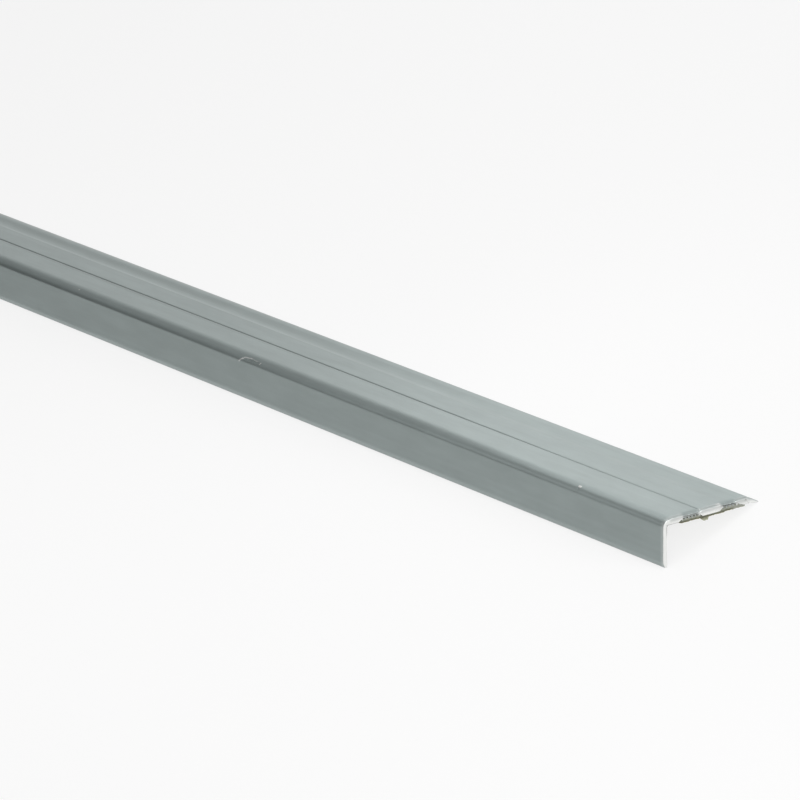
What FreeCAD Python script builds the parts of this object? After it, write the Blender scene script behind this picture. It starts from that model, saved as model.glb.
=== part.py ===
import FreeCAD, Part

import math
import os

import Sketcher

from FreeCAD import Placement
from FreeCAD import Rotation
from FreeCAD import Vector

# Driving sizes in millimetres. The section is measured across from the outer face of the leg
# towards the rear toe, and down from the top of the flange.
SIZES = [
    ("profile_length", 900.0, "length that the stock is sold in"),
    ("flange_width", 24.5, "outer face of the leg to the rear toe"),
    ("leg_height", 10.0, "top of the flange to the foot of the leg"),
    ("leg_wall", 1.0, "wall of the leg"),
    ("flange_thickness", 1.5, "top of the flange to its underside"),
    ("corner_radius", 1.5, "outer corner between flange and leg"),
    ("root_radius", 0.4, "inner corner between flange and leg"),
    ("edge_break", 0.1, "rounding of the two edges that the profile rests on"),
    ("foot_bevel_width", 0.45, "bevel on the outer edge of the foot, across"),
    ("foot_bevel_height", 1.0, "the same bevel, down"),
    ("ramp_width", 3.1, "ramp from the top of the flange to the rear toe"),
    ("toe_thickness", 0.2, "edge left at the rear toe"),
    ("heel_width", 3.9, "outer face of the leg to the front glue channel"),
    ("rib_width", 4.3, "solid rib between the two glue channels"),
    ("rear_land_width", 0.8, "flat between the rear glue channel and the ramp"),
    ("web_thickness", 0.5, "flange left above a glue channel"),
    ("front_channel_near_slope", 1.6, "side of the front channel towards the leg, across"),
    ("front_channel_far_slope", 1.6, "its other side"),
    ("rear_channel_near_slope", 1.0, "side of the rear channel towards the leg, across"),
    ("rear_channel_far_slope", 2.6, "its other side"),
    ("tooth_pitch", 0.85, "from tooth to tooth in a glue channel"),
    ("tooth_inset", 0.95, "edge of a channel's mouth to the nearest tooth, at least"),
    ("tooth_base_width", 0.5, "tooth where it leaves the web"),
    ("tooth_tip_width", 0.24, "tooth where its round tip starts"),
    ("tooth_tip_gap", 0.25, "tooth tips above the tape"),
    ("groove_place", 9.2, "outer face of the leg to the fine groove on top"),
    ("groove_width", 0.5, "fine groove, across"),
    ("groove_depth", 0.2, "fine groove, down"),
    ("trough_setback", 2.5, "middle of the shallow trough on top to the ramp"),
    ("trough_width", 3.6, "shallow trough, across"),
    ("trough_depth", 0.12, "shallow trough, down"),
    ("tape_overlap", 0.3, "tape stuck to the flats beside the glue channels"),
    ("tape_thickness", 0.3, "double-sided tape"),
    ("liner_thickness", 0.1, "paper that covers the tape until it is used"),
]

# Places across. The two glue channels share what the solid stretches of the flange leave.
RAMP_TOP = "(Sizes.flange_width - Sizes.ramp_width)"
REAR_LAND = f"({RAMP_TOP} - Sizes.rear_land_width)"
CHANNEL_MOUTH = f"(({REAR_LAND} - Sizes.heel_width - Sizes.rib_width) / 2)"

# A channel has as many teeth as fit between the insets, in a row about its middle.
TOOTH_GAPS = f"floor(({CHANNEL_MOUTH} - 2 * Sizes.tooth_inset) / Sizes.tooth_pitch)"
TOOTH_ROW = f"(Sizes.tooth_pitch * {TOOTH_GAPS})"

# Levels down. The toe reaches as deep as the tape, so that it hides the tape's edge in use.
UNDERSIDE = "Sizes.flange_thickness"
TAPE_FACE = "(Sizes.flange_thickness + Sizes.tape_thickness)"

# Each glue channel by name, with the place of the front edge of its mouth.
CHANNELS = [
    ("front", "Sizes.heel_width"),
    ("rear", f"({REAR_LAND} - {CHANNEL_MOUTH})"),
]

# How near two places are when they count as one.
SAME_PLACE = 1e-6


def fill_sheet(doc):
    """Write the driving sizes into the sheet and name every cell."""
    sheet = doc.addObject("Spreadsheet::Sheet", "Sizes")
    for row, (alias, number, words) in enumerate(SIZES, start=1):
        sheet.set(f"A{row}", alias)
        sheet.set(f"B{row}", str(number))
        sheet.setAlias(f"B{row}", alias)
        sheet.set(f"C{row}", words)
    doc.recompute()
    return sheet


def section_sketch(body, name):
    """Make a sketch across the profile, with its first axis to the rear and its second one up."""
    plane = next(part for part in body.Origin.OriginFeatures if part.Role == "YZ_Plane")
    sketch = body.newObject("Sketcher::SketchObject", name)
    sketch.AttachmentSupport = [(plane, "")]
    sketch.MapMode = "FlatFace"
    return sketch


def bind(sketch, kind, geometry, point, expression):
    """Pin a point of a sketch at a distance from the outer corner that the sheet gives."""
    distance = sketch.evalExpression(expression)
    constraint = Sketcher.Constraint(kind, -1, 1, geometry, point, distance)
    index = sketch.addConstraint(constraint)
    sketch.setExpression(f"Constraints[{index}]", expression)


def place(sketch, geometry, point, across, down):
    """Pin a point of a sketch at a place across and down from the outer corner."""
    bind(sketch, "DistanceX", geometry, point, across)
    bind(sketch, "DistanceY", geometry, point, f"-({down})")


def spot(sketch, across, down):
    """Give the point that two expressions describe."""
    return Vector(sketch.evalExpression(across), -sketch.evalExpression(down), 0)


def straight_lines(sketch, corners, closed=True):
    """Draw lines from corner to corner and pin every corner at its place."""
    points = [spot(sketch, *corner) for corner in corners]
    ends = points[1:] + points[:1] if closed else points[1:]
    lines = [
        sketch.addGeometry(Part.LineSegment(start, end), False)
        for start, end in zip(points, ends)
    ]
    for line, after in zip(lines, lines[1:]):
        sketch.addConstraint(Sketcher.Constraint("Coincident", line, 2, after, 1))
    if closed:
        sketch.addConstraint(Sketcher.Constraint("Coincident", lines[-1], 2, lines[0], 1))
    else:
        place(sketch, lines[-1], 2, *corners[-1])
    for line, corner in zip(lines, corners):
        place(sketch, line, 1, *corner)
    return lines


def arc_below(sketch, start, end, centre, centre_down):
    """Close an outline with an arc that hangs between two ends of its lines.

    The ends are pairs of a line and its point, and the arc runs from the front end to the rear
    one. Its centre stays in the middle, at the level given.
    """
    middle = spot(sketch, centre, centre_down)
    front = sketch.getPoint(*start)
    rear = sketch.getPoint(*end)
    circle = Part.Circle(middle, Vector(0, 0, 1), front.distanceToPoint(middle))
    arc = Part.ArcOfCircle(circle, circle.parameter(front), circle.parameter(rear))
    number = sketch.addGeometry(arc, False)
    sketch.addConstraint(Sketcher.Constraint("Coincident", number, 1, *start))
    sketch.addConstraint(Sketcher.Constraint("Coincident", number, 2, *end))
    bind(sketch, "DistanceY", number, 3, f"-({centre_down})")


def full_length_pad(body, sketch, name):
    """Extrude a section to both sides over the whole length of the profile."""
    pad = body.newObject("PartDesign::Pad", name)
    pad.Profile = sketch
    pad.SideType = "Symmetric"
    pad.setExpression("Length", "Sizes.profile_length")
    return pad


def full_length_pocket(body, sketch, name):
    """Cut a section out of the body from end to end."""
    pocket = body.newObject("PartDesign::Pocket", name)
    pocket.Profile = sketch
    pocket.SideType = "Symmetric"
    pocket.Type = "ThroughAll"
    return pocket


def draw_main_section(body):
    """Extrude the angle: the flange with its ramp and toe, and the leg with its bevelled foot."""
    toe_top = f"{TAPE_FACE} - Sizes.toe_thickness"
    bevel_top = "Sizes.leg_height - Sizes.foot_bevel_height"
    sketch = section_sketch(body, "MainSection")
    straight_lines(sketch, [
        ("0", "0"),
        (RAMP_TOP, "0"),
        ("Sizes.flange_width", toe_top),
        ("Sizes.flange_width", TAPE_FACE),
        (RAMP_TOP, UNDERSIDE),
        ("Sizes.leg_wall", UNDERSIDE),
        ("Sizes.leg_wall", "Sizes.leg_height"),
        ("Sizes.foot_bevel_width", "Sizes.leg_height"),
        ("0", bevel_top),
    ])
    full_length_pad(body, sketch, "MainPad")


def cut_glue_channel(body, name, mouth):
    """Cut one glue channel up into the flange, with sloping sides and a flat web above."""
    mouth_end = f"{mouth} + {CHANNEL_MOUTH}"
    web_start = f"{mouth} + Sizes.{name}_channel_near_slope"
    web_end = f"{mouth_end} - Sizes.{name}_channel_far_slope"
    sketch = section_sketch(body, f"{name}_channel_section")
    straight_lines(sketch, [
        (mouth, UNDERSIDE),
        (web_start, "Sizes.web_thickness"),
        (web_end, "Sizes.web_thickness"),
        (mouth_end, UNDERSIDE),
    ])
    full_length_pocket(body, sketch, f"{name}_channel")


def hang_teeth(body, name, mouth):
    """Hang a row of glue teeth with round tips from the web of one channel."""
    centre = f"({mouth} + ({CHANNEL_MOUTH} - {TOOTH_ROW}) / 2)"
    base_half = "Sizes.tooth_base_width / 2"
    tip_half = "Sizes.tooth_tip_width / 2"
    inside_web = "Sizes.web_thickness / 2"
    tip_start = f"{UNDERSIDE} - Sizes.tooth_tip_gap - {tip_half}"
    sketch = section_sketch(body, f"{name}_tooth_section")
    lines = straight_lines(sketch, [
        (f"{centre} + {tip_half}", tip_start),
        (f"{centre} + {base_half}", "Sizes.web_thickness"),
        (f"{centre} + {base_half}", inside_web),
        (f"{centre} - {base_half}", inside_web),
        (f"{centre} - {base_half}", "Sizes.web_thickness"),
        (f"{centre} - {tip_half}", tip_start),
    ], closed=False)
    arc_below(sketch, (lines[-1], 2), (lines[0], 1), centre, tip_start)
    tooth = full_length_pad(body, sketch, f"{name}_tooth")
    row = body.newObject("PartDesign::LinearPattern", f"{name}_teeth")
    row.Originals = [tooth]
    row.Direction = (sketch, ["H_Axis"])
    row.setExpression("Length", TOOTH_ROW)
    row.setExpression("Occurrences", f"{TOOTH_GAPS} + 1")
    body.Tip = row


def cut_top_groove(body):
    """Cut the fine groove along the top of the flange."""
    half = "Sizes.groove_width / 2"
    sketch = section_sketch(body, "GrooveSection")
    straight_lines(sketch, [
        (f"Sizes.groove_place - {half}", "0"),
        ("Sizes.groove_place", "Sizes.groove_depth"),
        (f"Sizes.groove_place + {half}", "0"),
    ])
    full_length_pocket(body, sketch, "TopGroove")


def cut_top_trough(body):
    """Cut the wide shallow trough along the top of the flange, near the ramp."""
    half = "Sizes.trough_width / 2"
    radius = "(Sizes.trough_width ^ 2 / 4 + Sizes.trough_depth ^ 2) / (2 * Sizes.trough_depth)"
    middle = f"({RAMP_TOP} - Sizes.trough_setback)"
    sketch = section_sketch(body, "TroughSection")
    chord, = straight_lines(sketch, [
        (f"{middle} - {half}", "0"),
        (f"{middle} + {half}", "0"),
    ], closed=False)
    centre_down = f"Sizes.trough_depth - {radius}"
    arc_below(sketch, (chord, 1), (chord, 2), middle, centre_down)
    full_length_pocket(body, sketch, "TopTrough")


def long_edges(shape, places):
    """Name the edges along the profile that pass through places across and down."""
    names = []
    for number, edge in enumerate(shape.Edges, start=1):
        ends = [vertex.Point for vertex in edge.Vertexes]
        for across, down in places:
            if all(math.hypot(end.y - across, end.z + down) < SAME_PLACE for end in ends):
                names.append(f"Edge{number}")
    return names


def round_edges(doc, body, name, radius, places):
    """Round the long edges at places across and down with one radius from the sheet."""
    doc.recompute()
    base = body.Tip
    edges = long_edges(base.Shape, places)
    if len(edges) != len(places):
        raise RuntimeError(f"{name} found {len(edges)} edges of {len(places)}")
    fillet = body.newObject("PartDesign::Fillet", name)
    fillet.Base = (base, edges)
    fillet.setExpression("Radius", radius)


def make_corner_profile(doc, sheet):
    """Build the extruded aluminium angle with its glue channels and top lines."""
    body = doc.addObject("PartDesign::Body", "corner_profile")
    draw_main_section(body)
    for name, mouth in CHANNELS:
        cut_glue_channel(body, name, mouth)
        hang_teeth(body, name, mouth)
    cut_top_groove(body)
    cut_top_trough(body)
    outer_corner = [(0, 0)]
    inner_root = [(sheet.leg_wall, sheet.flange_thickness)]
    resting_edges = [
        (sheet.leg_wall, sheet.leg_height),
        (sheet.flange_width, sheet.flange_thickness + sheet.tape_thickness),
    ]
    round_edges(doc, body, "OuterCorner", "Sizes.corner_radius", outer_corner)
    round_edges(doc, body, "InnerRoot", "Sizes.root_radius", inner_root)
    round_edges(doc, body, "RestingEdges", "Sizes.edge_break", resting_edges)
    return body


def make_strip(doc, name, top, bottom):
    """Build one flat strip as wide as the tape, between two levels below the flange."""
    front = "Sizes.heel_width - Sizes.tape_overlap"
    rear = f"{REAR_LAND} + Sizes.tape_overlap"
    body = doc.addObject("PartDesign::Body", name)
    sketch = section_sketch(body, f"{name}_section")
    straight_lines(sketch, [
        (front, top),
        (rear, top),
        (rear, bottom),
        (front, bottom),
    ])
    full_length_pad(body, sketch, f"{name}_pad")
    return body


def resting_placement(profile, sheet):
    """Lean the profile until its foot and toe lie on the floor, centred over the origin."""
    rise = sheet.leg_height - sheet.flange_thickness - sheet.tape_thickness
    run = sheet.flange_width - sheet.leg_wall
    lean = Rotation(Vector(1, 0, 0), -math.degrees(math.atan2(rise, run)))
    leaned = profile.Shape.copy()
    leaned.Placement = Placement(Vector(0, 0, 0), lean)
    box = leaned.optimalBoundingBox(False, False)
    return Placement(Vector(0, -box.Center.y, -box.ZMin), lean)


def check_document(doc, bodies):
    """Stop if a feature failed, changed nothing, or left a body without one sound solid."""
    for item in doc.Objects:
        if "Invalid" in item.State or "Error" in item.State:
            raise RuntimeError(f"{item.Name} failed")
        before = getattr(item, "BaseFeature", None)
        if before is not None and item.isDerivedFrom("PartDesign::Feature"):
            change = item.Shape.Volume - before.Shape.Volume
            if item.isDerivedFrom("PartDesign::Pocket") and change >= 0:
                raise RuntimeError(f"{item.Name} cut nothing")
            if item.isDerivedFrom("PartDesign::Pad") and change <= 0:
                raise RuntimeError(f"{item.Name} added nothing")
    for body in bodies:
        sound = not body.Shape.isNull() and body.Shape.isValid()
        if not sound or len(body.Shape.Solids) != 1:
            raise RuntimeError(f"{body.Label} is not one sound solid")


def main():
    """Build the three pieces, set them down as they rest, and write one file for each."""
    doc = FreeCAD.newDocument("corner_profile")
    sheet = fill_sheet(doc)
    profile = make_corner_profile(doc, sheet)
    tape = make_strip(doc, "adhesive_strip", UNDERSIDE, TAPE_FACE)
    liner_face = f"{TAPE_FACE} + Sizes.liner_thickness"
    liner = make_strip(doc, "release_liner", TAPE_FACE, liner_face)
    bodies = [profile, tape, liner]
    doc.recompute()
    resting = resting_placement(profile, sheet)
    for body in bodies:
        body.Placement = resting
    doc.recompute()
    check_document(doc, bodies)
    os.makedirs("parts", exist_ok=True)
    for body in bodies:
        body.Shape.exportStep(f"parts/{body.Label}.step")
        box = body.Shape.optimalBoundingBox(False, False)
        print(body.Label, [round(size, 3) for size in (box.XLength, box.YLength, box.ZLength)],
              "volume", round(body.Shape.Volume, 1), "lowest", round(box.ZMin, 4))


main()
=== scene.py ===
"""Looks of an anodised aluminium corner profile with glue channels, tape and liner."""

import logging
import math
from collections.abc import Sequence
from dataclasses import dataclass
from enum import Enum

import bpy
import numpy as np
from mathutils import Matrix, Vector


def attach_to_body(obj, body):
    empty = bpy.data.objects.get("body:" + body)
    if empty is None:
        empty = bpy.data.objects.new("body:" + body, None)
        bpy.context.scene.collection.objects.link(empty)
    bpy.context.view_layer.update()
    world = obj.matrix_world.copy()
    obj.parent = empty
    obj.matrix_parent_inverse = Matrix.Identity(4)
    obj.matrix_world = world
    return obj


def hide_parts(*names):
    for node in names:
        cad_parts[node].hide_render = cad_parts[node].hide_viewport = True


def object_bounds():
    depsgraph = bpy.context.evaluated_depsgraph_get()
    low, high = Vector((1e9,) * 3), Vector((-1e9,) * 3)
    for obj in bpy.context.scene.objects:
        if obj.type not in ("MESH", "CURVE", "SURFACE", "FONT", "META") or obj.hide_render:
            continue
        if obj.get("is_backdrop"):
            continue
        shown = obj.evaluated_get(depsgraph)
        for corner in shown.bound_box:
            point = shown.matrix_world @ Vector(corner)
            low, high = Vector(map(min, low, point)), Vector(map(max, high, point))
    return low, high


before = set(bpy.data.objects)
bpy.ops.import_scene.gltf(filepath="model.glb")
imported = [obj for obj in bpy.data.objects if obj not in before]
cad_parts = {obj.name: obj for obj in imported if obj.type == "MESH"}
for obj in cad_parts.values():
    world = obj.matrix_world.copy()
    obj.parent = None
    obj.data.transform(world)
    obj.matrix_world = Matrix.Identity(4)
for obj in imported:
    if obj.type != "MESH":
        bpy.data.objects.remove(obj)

LOG = logging.getLogger("corner_profile")
MM = 0.001
LEAST_GAP = 0.012
END_MARGIN = 9.0
INNER_GIRTH = 1e4
SHARP_ANGLE = math.radians(32.0)

Point = tuple[float, float]
Place = tuple[float, float, float]
Colour = tuple[float, float, float, float]
Socket = bpy.types.NodeSocket

# A place on a section is given in millimetres: along the length from the near cut end, so that
# the far end is negative, across from the outer face of the leg, and down from the flange top.


class Slot(Enum):
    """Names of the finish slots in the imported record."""

    METAL = "anodised_aluminium"
    ADHESIVE = "tape_adhesive"
    LINER = "liner_paper"


class Side(Enum):
    """Faces of a swept piece, in the order of its mesh's material slots."""

    DRAWN = 0
    CUT = 1


def smooth_step(value: np.ndarray, low: float, high: float) -> np.ndarray:
    """Rise from 0 to 1 between two levels.

    The share t runs from 0 at low to 1 at high, and the rise is t squared times 3 minus 2 t.

    Args:
        value: Where to take the rise.
        low: Level at which the rise starts.
        high: Level at which it ends.

    Returns:
        The rise, as large as value.
    """
    share = np.clip((value - low) / (high - low), 0.0, 1.0)
    return share * share * (3.0 - 2.0 * share)


def band(value: np.ndarray, start: float, end: float, soft: float) -> np.ndarray:
    """Level that is 1 between start and end and falls to 0 over soft on both sides."""
    return smooth_step(value, start - soft, start) * (1.0 - smooth_step(value, end, end + soft))


def rise_to_cut(back: np.ndarray, reach: float) -> np.ndarray:
    """Parabola that rises from 0 at the reach behind a cut to 1 on the cut."""
    return np.clip(1.0 - back / reach, 0.0, 1.0) ** 2


def ripple(place: np.ndarray, lengths: Sequence[float], phase: float) -> np.ndarray:
    """Uneven wave along a line.

    It is the mean of one sine for each wave length, each with its own phase.

    Args:
        place: Position along the line.
        lengths: Wave lengths in the same unit.
        phase: Turns the waves against each other, so that two ripples differ.

    Returns:
        Values between -1 and 1, as large as place.
    """
    waves = [
        np.sin(2.0 * math.pi * place / length + phase * (1.7 + 2.3 * number))
        for number, length in enumerate(lengths)
    ]
    return np.mean(waves, axis=0)


def linked(name: str, data: bpy.types.ID) -> bpy.types.Object:
    """New object in the scene that has this mesh, lamp or camera.

    Args:
        name: Name of the object.
        data: What it is made of.

    Returns:
        The object, at the origin.
    """
    item = bpy.data.objects.new(name, data)
    bpy.context.scene.collection.objects.link(item)
    return item


def spaced(parts: Sequence[np.ndarray]) -> np.ndarray:
    """Places of all parts from the rear to the front, without those too close to another."""
    places = np.sort(np.concatenate(parts))[::-1]
    return places[np.concatenate([[True], -np.diff(places) > LEAST_GAP])]


def stations_along(
    length: float, near: np.ndarray, start: float, step: float, fine: Sequence[np.ndarray] = ()
) -> np.ndarray:
    """Places along a piece, close together at both ends and evenly spread in between.

    Args:
        length: Length of the piece.
        near: Distances from each end that have a station.
        start: Distance of the first even station from the near end.
        step: Distance between the even stations.
        fine: More distances from the near end that have one.

    Returns:
        The places from the far end, at minus the length, to the near end at 0.
    """
    middle = np.arange(start, length - END_MARGIN, step)
    behind = np.concatenate([near, middle, *fine, length - near])
    return -np.unique(np.round(behind, 3))[::-1]


def fillet(before: Point, corner: Point, after: Point, radius: float, steps: int) -> np.ndarray:
    """Points on the arc that rounds a corner.

    The arc touches both arms at the radius over the tangent of half the corner's angle. Its
    points turn evenly about the centre, from the arm towards before to the arm towards after.

    Args:
        before: Point that the line comes from.
        corner: The sharp corner.
        after: Point that the line goes to.
        radius: Radius of the rounding.
        steps: Number of runs that the arc is divided into.

    Returns:
        The arc's points, one more than steps, as rows of two.
    """
    tip = np.array(corner)
    back = np.array(before) - tip
    ahead = np.array(after) - tip
    back = back / np.linalg.norm(back)
    ahead = ahead / np.linalg.norm(ahead)
    half = math.acos(float(back @ ahead)) / 2.0
    bisector = (back + ahead) / np.linalg.norm(back + ahead)
    centre = tip + bisector * radius / math.sin(half)
    start = tip + back * radius / math.tan(half) - centre
    end = tip + ahead * radius / math.tan(half) - centre
    turn = math.pi - 2.0 * half
    share = np.linspace(0.0, 1.0, steps + 1)[:, None]
    arc = (np.sin((1.0 - share) * turn) * start + np.sin(share * turn) * end) / math.sin(turn)
    return centre + arc


@dataclass(frozen=True)
class GlueChannel:
    """Trapezoid channel for glue in the flange's underside, with teeth hanging from its roof.

    Start, roof_start, roof_end, end and tooth_middle are places across. Mouth, roof, reach and
    fill_depth are how deep the underside, the roof, the teeth's tips and dragged glue lie.
    """

    start: float
    roof_start: float
    roof_end: float
    end: float
    tooth_middle: float
    fill_depth: float
    mouth: float = 1.5
    roof: float = 0.5
    tooth_count: int = 6
    tooth_pitch: float = 0.85
    root_half_width: float = 0.25
    tip_radius: float = 0.12
    reach: float = 1.25

    def bends(self) -> np.ndarray:
        """Places across of the trapezoid's four bends."""
        return np.array([self.start, self.roof_start, self.roof_end, self.end])

    def tooth_centres(self) -> np.ndarray:
        """Middles of the teeth, a pitch apart on both sides of their common middle."""
        count = np.arange(self.tooth_count) - (self.tooth_count - 1) / 2.0
        return self.tooth_middle + count * self.tooth_pitch

    def samples(self) -> np.ndarray:
        """Places across at which the outline bends: each tooth's root and tip, and the channel.

        Returns:
            The places, in no order.
        """
        tip = self.tip_radius * np.array([0.35, 0.8, 1.0])
        turns = np.array([*tip, self.root_half_width])
        turns = np.concatenate([-turns, turns])
        teeth = (self.tooth_centres()[:, None] + turns).ravel()
        return np.concatenate([teeth, self.bends()])

    def depth(self, across: np.ndarray) -> np.ndarray:
        """Height of the underside in the channel, measured down from the flange top.

        It is the lower one of the trapezoid and the nearest tooth. A tooth's flanks lean in
        from the root to the half round tip, whose depth at u from the middle is the tip's
        centre plus the root of its radius squared minus u squared.

        Args:
            across: Places across the flange.

        Returns:
            The depth at each place.
        """
        shell = np.interp(across, self.bends(), [self.mouth, self.roof, self.roof, self.mouth])
        gap = np.abs(across[:, None] - self.tooth_centres()).min(axis=1)
        centre = self.reach - self.tip_radius
        lean = (centre - self.roof) / (self.root_half_width - self.tip_radius)
        flank = centre - (gap - self.tip_radius) * lean
        tip = centre + np.sqrt(np.clip(self.tip_radius**2 - gap**2, 0.0, None))
        tooth = np.where(gap < self.tip_radius, tip, flank)
        return np.maximum(shell, tooth)


@dataclass(frozen=True)
class FlangeTop:
    """Upper face of the flange: flat, with a fine groove, a shallow trough and the rear ramp."""

    groove_middle: float = 9.2
    groove_half_width: float = 0.32
    groove_depth: float = 0.15
    groove_softness: float = 0.15
    trough_bottom: float = 17.1
    trough_front_reach: float = 1.7
    trough_rear_reach: float = 3.0
    trough_depth: float = 0.2
    trough_near_share: float = 0.55
    trough_fade: float = 160.0
    trough_unevenness: float = 0.18
    ramp_start: float = 21.4
    ramp_slope: float = 1.6 / 3.1
    ramp_softness: float = 0.09

    def samples(self) -> np.ndarray:
        """Places across at which the groove, the trough and the start of the ramp bend.

        Returns:
            The places, in no order.
        """
        half = np.array([0.12, 0.4, 0.85, 1.1, 1.4])
        groove = self.groove_middle + self.groove_half_width * np.concatenate([-half, half])
        front = self.trough_bottom - self.trough_front_reach * np.linspace(0.0, 1.1, 8)
        rear = self.trough_bottom + self.trough_rear_reach * np.linspace(0.15, 1.1, 7)
        ramp = self.ramp_start + self.ramp_softness * np.array([-4.0, -2.0, -0.7, 0.7, 2.0, 4.0])
        return np.concatenate([groove, front, rear, ramp])

    def depth(self, across: np.ndarray) -> np.ndarray:
        """Depth of the face without the trough.

        The groove is a V whose lips and root are rounded by a soft maximum, and the ramp is
        its slope times a soft maximum of 0 and the distance past its start.

        Args:
            across: Places across the flange.

        Returns:
            The depth at each place.
        """
        share = 1.0 - np.abs(across - self.groove_middle) / self.groove_half_width
        depth = self.groove_depth * self.groove_softness
        groove = depth * np.logaddexp(0.0, share / self.groove_softness)
        past = (across - self.ramp_start) / self.ramp_softness
        ramp = self.ramp_slope * self.ramp_softness * np.logaddexp(0.0, past)
        return np.where(share > -1.0, groove, 0.0) + ramp

    def trough(self, along: np.ndarray, across: np.ndarray) -> np.ndarray:
        """Depth of the trough, which is fainter near the cut end and a little uneven.

        Across it is 1 minus the squared share of its reach, to the power of 1.2. The reach is
        shorter to the front than to the rear. Along it is scaled by a rise away from the near
        end and by a ripple.

        Args:
            along: Places along the length, as a column.
            across: Places across the flange, as a row.

        Returns:
            The depth on the grid of both.
        """
        offset = across - self.trough_bottom
        reach = np.where(offset < 0.0, self.trough_front_reach, self.trough_rear_reach)
        dip = np.clip(1.0 - (offset / reach) ** 2, 0.0, None) ** 1.2
        rise = smooth_step(-along, 0.0, self.trough_fade)
        strength = self.trough_near_share + (1.0 - self.trough_near_share) * rise
        uneven = 1.0 + self.trough_unevenness * ripple(along, (31.0, 53.0, 97.0), 1.0)
        return self.trough_depth * dip * strength * uneven


@dataclass(frozen=True)
class Section:
    """Cross section of the profile as a ribbon that has an outer and an inner side.

    Both sides run from the rear toe over the flange and the corner to the foot of the leg.
    """

    top: FlangeTop
    channels: tuple[GlueChannel, ...]
    flange_width: float = 24.5
    leg_height: float = 10.0
    leg_wall: float = 1.0
    flange_thickness: float = 1.5
    corner_on_top: float = 2.6
    corner_on_leg: float = 1.7
    root_radius: float = 0.4
    edge_break: float = 0.1
    foot_bevel_width: float = 0.45
    foot_bevel_height: float = 1.0
    bevel_rounding: float = 0.25
    foot_rounding: float = 0.06
    toe_thickness: float = 0.2
    toe_rounding: float = 0.08
    corner_steps: int = 22
    edge_steps: int = 3
    flat_samples: tuple[float, ...] = (23.0, 22.3, 13.2, 12.2, 11.3, 3.3, 2.8)
    leg_shares: tuple[float, ...] = (0.02, 0.05, 0.09, 0.14, 0.22, 0.34, 0.5, 0.68, 0.84, 0.95)
    foot_heights: tuple[float, ...] = (0.9, 0.6, 0.38, 0.2)

    def flange_samples(self) -> np.ndarray:
        """Places across the flange at which either side bends.

        Returns:
            The places from the toe to the corner.
        """
        toe = self.flange_width - self.toe_rounding * np.array([0.0, 0.15, 0.5, 1.0, 3.0])
        flat = np.array([self.top.ramp_start, *self.flat_samples])
        channels = [channel.samples() for channel in self.channels]
        return spaced([toe, flat, self.top.samples(), *channels])

    def toe_depth(self) -> float:
        """Depth of the toe's underside, at the end of the ramp."""
        run = self.flange_width - self.top.ramp_start
        return self.top.ramp_slope * run + self.toe_thickness

    def flange(self) -> tuple[np.ndarray, np.ndarray]:
        """Both sides of the flange.

        The upper side is the flange top, the lower side the flat underside, the channels and
        the slope under the ramp. At the toe both turn in by the radius minus the root of the
        radius squared minus the squared way past the rounding's start.

        Returns:
            Outer and inner points as rows of across and down.
        """
        across = self.flange_samples()
        past = np.clip(across - (self.flange_width - self.toe_rounding), 0.0, self.toe_rounding)
        turn = self.toe_rounding - np.sqrt(self.toe_rounding**2 - past**2)
        upper = self.top.depth(across) + turn
        slope = [self.top.ramp_start, self.flange_width]
        lower = np.interp(across, slope, [self.flange_thickness, self.toe_depth()])
        for channel in self.channels:
            inside = (across > channel.start) & (across < channel.end)
            lower = np.where(inside, channel.depth(across), lower)
        return np.stack([across, upper], 1), np.stack([across, lower - turn], 1)

    def ribbon(self) -> tuple[np.ndarray, np.ndarray]:
        """Both sides of the whole section, with as many points on each.

        The corner is a quarter of an ellipse. Its points are its reach on the top times 1 minus
        the sine of the turn, and its reach on the leg times 1 minus the cosine.

        Returns:
            Outer and inner points as rows of across and down.
        """
        outer_flange, inner_flange = self.flange()
        turn = np.linspace(0.0, math.pi / 2.0, self.corner_steps + 1)
        on_top = self.corner_on_top * (1.0 - np.sin(turn))
        on_leg = self.corner_on_leg * (1.0 - np.cos(turn))
        outer_arc = np.stack([on_top, on_leg], 1)
        rear = (self.flange_width, self.flange_thickness)
        root = (self.leg_wall, self.flange_thickness)
        foot = (self.leg_wall, self.leg_height)
        bevel_foot = (self.foot_bevel_width, self.leg_height)
        bevel_top = (0.0, self.leg_height - self.foot_bevel_height)
        few = self.edge_steps
        inner_arc = fillet(rear, root, foot, self.root_radius, self.corner_steps)
        bevel_arc = fillet((0.0, 0.0), bevel_top, bevel_foot, self.bevel_rounding, few)
        foot_arc = fillet(bevel_top, bevel_foot, foot, self.foot_rounding, few)
        outer_foot = np.concatenate([bevel_arc, foot_arc])
        down = self.leg_height - np.array(self.foot_heights)
        above_foot = np.stack([np.full(len(down), self.leg_wall), down], 1)
        edge_arc = fillet(root, foot, bevel_foot, self.edge_break, few)
        inner_foot = np.concatenate([above_foot, edge_arc])
        share = np.array(self.leg_shares)[:, None]
        outer_leg = outer_arc[-1] * (1.0 - share) + outer_foot[0] * share
        inner_leg = inner_arc[-1] * (1.0 - share) + inner_foot[0] * share
        outer = np.concatenate([outer_flange, outer_arc, outer_leg, outer_foot])
        inner = np.concatenate([inner_flange, inner_arc, inner_leg, inner_foot])
        return outer, inner

    def girth(self, outer: np.ndarray) -> np.ndarray:
        """Way round the outer side from the tip of the corner.

        Args:
            outer: Points of the outer side as rows of across and down.

        Returns:
            The way to each point, negative on the flange top and positive on the leg.
        """
        steps = np.linalg.norm(np.diff(outer, axis=0), axis=1)
        way = np.concatenate([[0.0], np.cumsum(steps)])
        tip = np.argmin(np.linalg.norm(outer, axis=1))
        return way - way[tip]


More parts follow.
